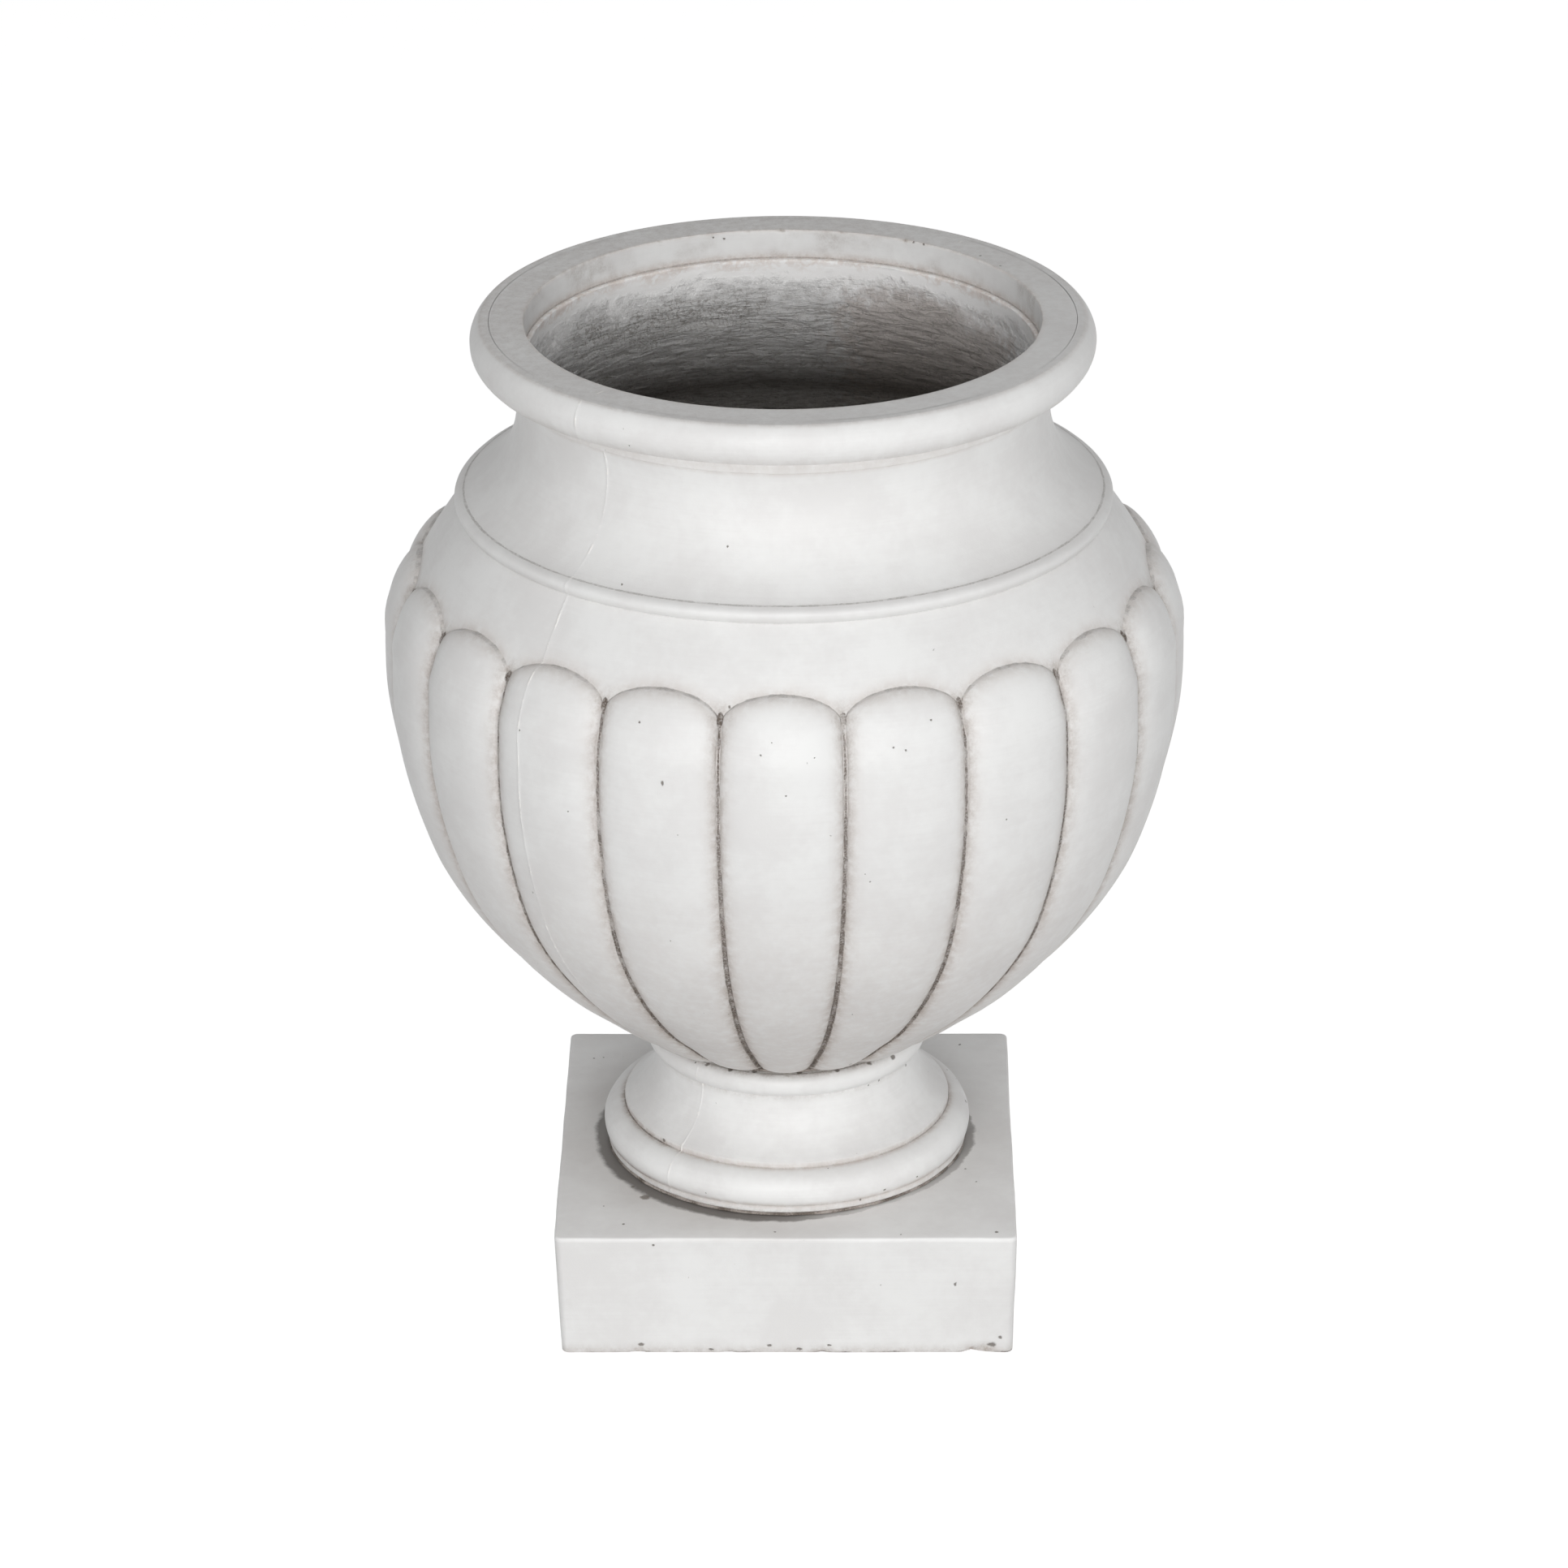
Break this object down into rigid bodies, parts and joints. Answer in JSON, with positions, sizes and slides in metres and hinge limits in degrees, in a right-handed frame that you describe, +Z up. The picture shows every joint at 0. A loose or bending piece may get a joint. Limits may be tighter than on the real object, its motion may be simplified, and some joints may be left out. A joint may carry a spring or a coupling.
{
  "type": "urn vase",
  "caption": "Garden urn vase: wide gadrooned bowl with rolled rim, concave neck and bead, on a short turned foot and a square plinth, open at the top.",
  "frame": {"origin": "centre of the square plinth's underside, on the urn's axis", "axes": "+Z up along the urn's axis; -Y is the front, square to one side of the plinth; +X to the right seen from the front"},
  "size_m": [0.5198, 0.5198, 0.6694],
  "materials": {
    "painted_cement": "off-white satin-matte paint over moulded fibre cement, grey-brown patina rubbed into the grooves",
    "fibre_laminate": "rough hand-laid fibre cement laminate, thinly painted",
    "mortar": "rough cement mortar with some paint on it"
  },
  "bodies": {
    "root": {"plinth_shell": "painted_cement", "foot_bed": "mortar", "foot_half_front": "painted_cement", "foot_half_back": "painted_cement", "foot_lining": "fibre_laminate", "bowl_bed": "mortar", "bowl_half_front": "painted_cement", "bowl_half_back": "painted_cement", "bowl_lining": "fibre_laminate", "rim_core": "painted_cement"}
  },
  "joints": []
}
